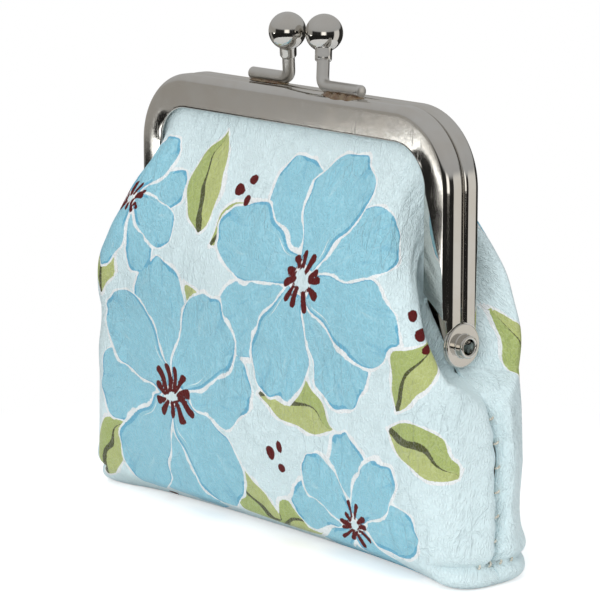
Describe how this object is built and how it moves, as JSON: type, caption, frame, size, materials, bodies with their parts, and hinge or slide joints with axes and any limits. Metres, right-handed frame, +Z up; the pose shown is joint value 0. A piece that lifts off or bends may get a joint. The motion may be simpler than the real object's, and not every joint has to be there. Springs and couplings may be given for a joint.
{
  "type": "coin purse",
  "caption": "Boxed leather coin purse hung in a hinged metal channel frame that closes with a two-ball kiss-lock clasp.",
  "frame": {"origin": "middle of the flat base, on the table", "axes": "+X along the purse's width and the hinge axis, to the right seen from the front; -Y is the front; +Z up toward the clasp"},
  "size_m": [0.119, 0.034, 0.1113],
  "materials": {
    "nickel": "polished nickel plating on steel, slightly warm",
    "solder": "dull solder with amber flux at its edge",
    "paper_cord": "twisted paper",
    "leather": "pale aqua pebbled leather with a floral print",
    "lining": "plain woven lining",
    "thread": "off-white sewing thread"
  },
  "bodies": {
    "pouch": {"pouch_shell": "leather", "pouch_lining": "lining", "front_fold": "leather", "rear_fold": "leather", "front_lining_fold": "lining", "rear_lining_fold": "lining", "left_side_thread": "thread", "right_side_thread": "thread", "left_corner_thread": "thread", "right_corner_thread": "thread"},
    "front_half": {"front_frame": "nickel", "front_post": "nickel", "front_ball": "nickel", "front_solder": "solder", "front_cord": "paper_cord", "front_panel": "leather", "front_lining": "lining"},
    "rear_half": {"rear_frame": "nickel", "rear_post": "nickel", "rear_ball": "nickel", "rear_solder": "solder", "rear_cord": "paper_cord", "rear_panel": "leather", "rear_lining": "lining", "left_rivet": "nickel", "right_rivet": "nickel"}
  },
  "joints": [
    {"name": "front_hinge", "type": "hinge", "parent": "pouch", "child": "front_half", "pos_m": [0, 0, 0.048], "axis": [1, 0, 0], "range_deg": [0, 55], "deforming": ["front_fold", "front_lining_fold"]},
    {"name": "rear_hinge", "type": "hinge", "parent": "pouch", "child": "rear_half", "pos_m": [0, 0, 0.048], "axis": [-1, 0, 0], "range_deg": [0, 55], "deforming": ["rear_fold", "rear_lining_fold"]}
  ]
}
